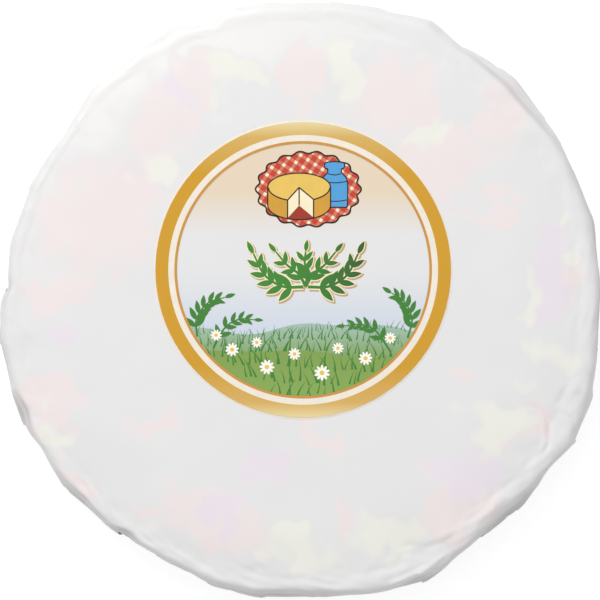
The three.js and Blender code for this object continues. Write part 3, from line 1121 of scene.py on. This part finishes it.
def make_sprays(s):
    """Leafy sprays that rise from the meadow at both sides."""
    leaf = add_patch("leaf", leaf_outline(1, 0.4), 0)
    pieces = [print_stroke(f"stem_{k}", bough[0], 0.7, 0.35, STEMS, s) for k, bough in enumerate(SPRAYS)]
    for n, bough in enumerate(SPRAYS):
        for k, (x, y, turn, size) in enumerate(leaf_places(*bough)):
            pieces.append(place_copy(leaf, x, y, turn, (size, size), LEAVES + 0.25 * n + 0.02 * k, s))
    remove_piece(leaf)
    finish_print(join_pieces("side_sprays", pieces), printed_ink("spray_green_ink", s.leaf))


def make_garland(s):
    """The garland in the middle, in dark green with a cream edge and a tan shade under it."""
    greens = ((-20, [c * 1.15 for c in s.leaf]), (4, s.leaf), (22, s.leaf_dark))
    for name, wider, shift, layer, ink in (
        ("garland_shade", 0.55, 0.45, SHADE, printed_ink("tan_shade_ink", s.tan)),
        ("garland_edge", 0.42, 0, HALO, printed_ink("cream_edge_ink", s.cream)),
        ("garland", 0, 0, LEAVES, graded_ink("garland_green_ink", "X", *greens)),
    ):
        leaf = add_patch("leaf", grown(leaf_outline(LEAF_LENGTH, LEAF_WIDTH), wider * 0.9), 0)
        pieces = []
        for k, (corners, pairs, length) in enumerate(BOUGHS):
            placed = [(x + GARLAND_X + shift, y + GARLAND_Y - shift) for x, y in corners]
            level = layer + 0.19 * k
            pieces.append(print_stroke(f"bough_{k}", placed, 1.1 + 2 * wider, 0.6 + 2 * wider, level, s))
            for n, (x, y, turn, size) in enumerate(leaf_places(placed, pairs, length), 1):
                scale = size / LEAF_LENGTH
                pieces.append(place_copy(leaf, x, y, turn, (scale, scale), level + 0.015 * n, s))
        remove_piece(leaf)
        finish_print(join_pieces(name, pieces), ink)


def make_emblem(s):
    """The picture's crest: a yellow cheese with a wedge cut out and a blue milk churn, on a checked cloth."""
    x0, y0 = EMBLEM_X, EMBLEM_Y
    scallops = [(a, 1 + 0.035 * math.cos(18 * a)) for a in np.linspace(0, 2 * math.pi, 216, endpoint=False)]
    cloth = [(x0 + out * 17.3 * math.cos(a), y0 + out * 12.4 * math.sin(a)) for a, out in scallops]
    churn_x, churn_y = x0 + 9, y0 + 1.5
    body = ((0, -7.5), (3.7, -7.5), (4.2, -6.6), (4.3, 0.5), (3.6, 2.6))
    neck = ((2.3, 4.0), (2.2, 5.6), (3.1, 6.0), (3.0, 7.4), (0, 7.8))
    right = smooth_path(body + neck, 30).tolist()
    churn = [(x + churn_x, y + churn_y) for x, y in right + [(-x, y) for x, y in right[-2:0:-1]]]

    x, y, wide, deep, thick = x0 - 3.2, y0 + 0.6, 10.6, 4.7, 6.2
    rim, foot = (partial(ellipse, x, level, wide, deep) for level in (y, y - thick))
    side = rim(0, 180, 30) + foot(180, 360, 30)
    middle, drop = np.array((x, y)), np.array((0, thick))
    left_cut, right_cut = (np.array(rim(angle, angle + 1, 2)[0]) for angle in (-112, -62))
    front = foot(-108, -66, 9)
    floor = [middle - drop, left_cut - drop, *front, right_cut - drop]
    opening = [middle, left_cut, left_cut - drop, *front, right_cut - drop, right_cut]

    lines = [
        print_patch("cloth_line", grown(cloth, 0.6), CLOTH_LINE, s),
        print_patch("churn_line", grown(churn, LINE_WIDTH), CHURN_LINE, s),
        print_patch("cheese_line", grown(side, LINE_WIDTH), CHEESE_LINE, s),
    ]
    strokes = (
        rim(180, 248, 16),
        rim(298, 360, 16),
        (middle, left_cut),
        (middle, right_cut),
        (middle, middle - drop),
        (left_cut, left_cut - drop),
        (right_cut, right_cut - drop),
    )
    for k, corners in enumerate(strokes):
        lines.append(print_stroke(f"edge_{k}", corners, LINE_WIDTH, LINE_WIDTH, EDGES + 0.1 * k, s))
    for k, (level, half) in enumerate(((-5.2, 4.2), (1.2, 4.2), (3.9, 2.2))):
        hoop = [(churn_x + half * t, churn_y + level - 0.5 * (1 - t * t)) for t in np.linspace(-1, 1, 7)]
        lines.append(print_stroke(f"hoop_{k}", hoop, 0.35, 0.35, CHURN + 0.5, s))
    finish_print(join_pieces("emblem_lines", lines), printed_ink("dark_brown_ink", s.brown))
    finish_print(print_patch("checked_cloth", cloth, CLOTH, s), checked_ink(s))
    for name, outline, layer, ink, colour in (
        ("milk_churn", churn, CHURN, "churn_blue_ink", s.blue),
        ("cheese_side", side, CHEESE - 0.5, "amber_cheese_ink", s.amber),
        ("cheese_top", rim(), CHEESE, "yellow_cheese_ink", s.yellow),
        ("cheese_cut", opening, CUT, "cream_cheese_ink", s.cream),
        ("cheese_cut_floor", floor, CUT + 0.4, "cloth_shade_ink", [c * 0.6 for c in s.red]),
    ):
        finish_print(print_patch(name, outline, layer, s), printed_ink(ink, colour))


# The seal

SEAL_LIFT = 0.03  # the seal's paper is this far up, so that the print on it stays above the floor
RING_MARGIN, RING_WIDTH = 2.2, 1.2  # of the seal's printed ring


def make_seal(s):
    """The seal under the wheel: a die-cut paper disc with a rounded edge and one plain printed ring."""
    paper_low, paper_high = SEAL_LOW.z / MM + SEAL_LIFT, SEAL_HIGH.z / MM
    seal = add_disc("paper_seal", SEAL_RADIUS, paper_low, paper_high, 0.3, sides=192)
    finish_piece(seal, seal_paper(s), "seal_paper", "base_seal")
    outer = SEAL_RADIUS - RING_MARGIN
    ring = add_band("seal_ring", outer, outer - RING_WIDTH, SEAL_LOW.z / MM + SEAL_LIFT / 2)
    turn_over(ring)
    finish_piece(ring, printed_ink("seal_ring_ink", s.ring_ink), "seal_paper")


# The stage

LIGHTS = (  # name, place in metres, width and power
    ("overhead_softbox", (-0.12, 0.25, 1.6), 2.6, 31.6),
    ("key_softbox", (-0.55, 1.1, 0.9), 1.1, 10.4),
)
DAYLIGHT = 0.25
SENSOR_WIDTH = 36


def make_stage(s):
    """A plain pale floor, soft light from the upper left, and the camera straight above."""
    start_object_mode()
    bpy.ops.mesh.primitive_plane_add(size=4)
    floor = name_new("pale_floor")
    floor.data.materials.append(pale_floor(s))

    world = bpy.data.worlds.new("soft_daylight_tent")
    bpy.context.scene.world = world
    world.use_nodes = True
    sky = world.node_tree.nodes["Background"]
    sky.inputs["Color"].default_value = (1, 1, 1, 1)
    sky.inputs["Strength"].default_value = DAYLIGHT
    for light in LIGHTS:
        add_light(*light)

    distance = s.camera_height - WHEEL_HIGH.z / 2
    bpy.ops.object.camera_add(location=(0, 0, s.camera_height), rotation=(0, 0, 0))
    camera = bpy.context.active_object
    camera.name = "overhead_camera"
    camera.data.sensor_width = SENSOR_WIDTH
    camera.data.lens = SENSOR_WIDTH * distance / s.picture_width
    camera.data.clip_start = 0.05
    camera.data.clip_end = 20
    bpy.context.scene.camera = camera
    bpy.context.scene.view_settings.view_transform = "Standard"


def add_light(name, place, size, power):
    """A square soft light that faces the wheel."""
    bpy.ops.object.light_add(type="AREA", location=place)
    light = bpy.context.active_object
    light.name = name
    light.data.shape = "SQUARE"
    light.data.size = size
    light.data.energy = power
    light.rotation_euler = (-Vector(place)).to_track_quat("-Z", "Y").to_euler()


class BRIE_OT_film(bpy.types.Operator):
    """Wrap the wheel in its pleated pearly film"""

    bl_idname = "brie.film"
    bl_label = "Film"

    def execute(self, context):
        make_film(settings_of("brie_wrap"))
        return {"FINISHED"}


class BRIE_OT_label(bpy.types.Operator):
    """Lay the label's sheet on the film"""

    bl_idname = "brie.label"
    bl_label = "Label sheet"

    def execute(self, context):
        make_label_sheet(settings_of("brie_label"))
        return {"FINISHED"}


class BRIE_OT_meadow(bpy.types.Operator):
    """Print the picture's ground and the meadow along its foot"""

    bl_idname = "brie.meadow"
    bl_label = "Meadow"

    def execute(self, context):
        make_meadow(settings_of("brie_label"))
        return {"FINISHED"}


class BRIE_OT_sprays(bpy.types.Operator):
    """Print the leafy sprays at both sides"""

    bl_idname = "brie.sprays"
    bl_label = "Sprays"

    def execute(self, context):
        make_sprays(settings_of("brie_label"))
        return {"FINISHED"}


class BRIE_OT_garland(bpy.types.Operator):
    """Print the garland in the middle"""

    bl_idname = "brie.garland"
    bl_label = "Garland"

    def execute(self, context):
        make_garland(settings_of("brie_label"))
        return {"FINISHED"}


class BRIE_OT_emblem(bpy.types.Operator):
    """Print the cheese and the churn on their cloth"""

    bl_idname = "brie.emblem"
    bl_label = "Emblem"

    def execute(self, context):
        make_emblem(settings_of("brie_label"))
        return {"FINISHED"}


class BRIE_OT_rings(bpy.types.Operator):
    """Print the label's gold band and thin ring"""

    bl_idname = "brie.rings"
    bl_label = "Rings"

    def execute(self, context):
        make_rings(settings_of("brie_label"))
        return {"FINISHED"}


class BRIE_OT_seal(bpy.types.Operator):
    """Stick the paper seal under the wheel"""

    bl_idname = "brie.seal"
    bl_label = "Seal"

    def execute(self, context):
        make_seal(settings_of("brie_seal"))
        return {"FINISHED"}


class BRIE_OT_stage(bpy.types.Operator):
    """Set the floor, the lights and the camera"""

    bl_idname = "brie.stage"
    bl_label = "Stage"

    def execute(self, context):
        make_stage(settings_of("brie_stage"))
        return {"FINISHED"}


OPERATORS = (
    BRIE_OT_stage,
    BRIE_OT_film,
    BRIE_OT_label,
    BRIE_OT_meadow,
    BRIE_OT_sprays,
    BRIE_OT_garland,
    BRIE_OT_emblem,
    BRIE_OT_rings,
    BRIE_OT_seal,
)
SETTINGS = {
    "brie_wrap": WrapSettings,
    "brie_label": LabelSettings,
    "brie_seal": SealSettings,
    "brie_stage": StageSettings,
}


class BRIE_PT_sidebar(bpy.types.Panel):
    """Lists the pieces of the wrapped wheel"""

    bl_idname = "BRIE_PT_sidebar"
    bl_label = "Wrapped brie wheel"
    bl_space_type = "VIEW_3D"
    bl_region_type = "UI"
    bl_category = "Brie"

    def draw(self, context):
        for operator in OPERATORS:
            self.layout.operator(operator.bl_idname)
        for name, group in SETTINGS.items():
            box = self.layout.box()
            box.label(text=group.__doc__)
            for key in group.__annotations__:
                box.prop(getattr(context.scene, name), key)


def register():
    for group in SETTINGS.values():
        bpy.utils.register_class(group)
    for name, group in SETTINGS.items():
        setattr(bpy.types.Scene, name, bpy.props.PointerProperty(type=group))
    for operator in OPERATORS:
        bpy.utils.register_class(operator)
    bpy.utils.register_class(BRIE_PT_sidebar)


def unregister():
    bpy.utils.unregister_class(BRIE_PT_sidebar)
    for operator in reversed(OPERATORS):
        bpy.utils.unregister_class(operator)
    for name in SETTINGS:
        delattr(bpy.types.Scene, name)
    for group in reversed(SETTINGS.values()):
        bpy.utils.unregister_class(group)


def main():
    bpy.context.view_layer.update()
    register()
    bpy.ops.brie.stage()
    bpy.ops.brie.film()
    bpy.ops.brie.label()
    bpy.ops.brie.meadow()
    bpy.ops.brie.sprays()
    bpy.ops.brie.garland()
    bpy.ops.brie.emblem()
    bpy.ops.brie.rings()
    bpy.ops.brie.seal()


if __name__ == "__main__":
    main()
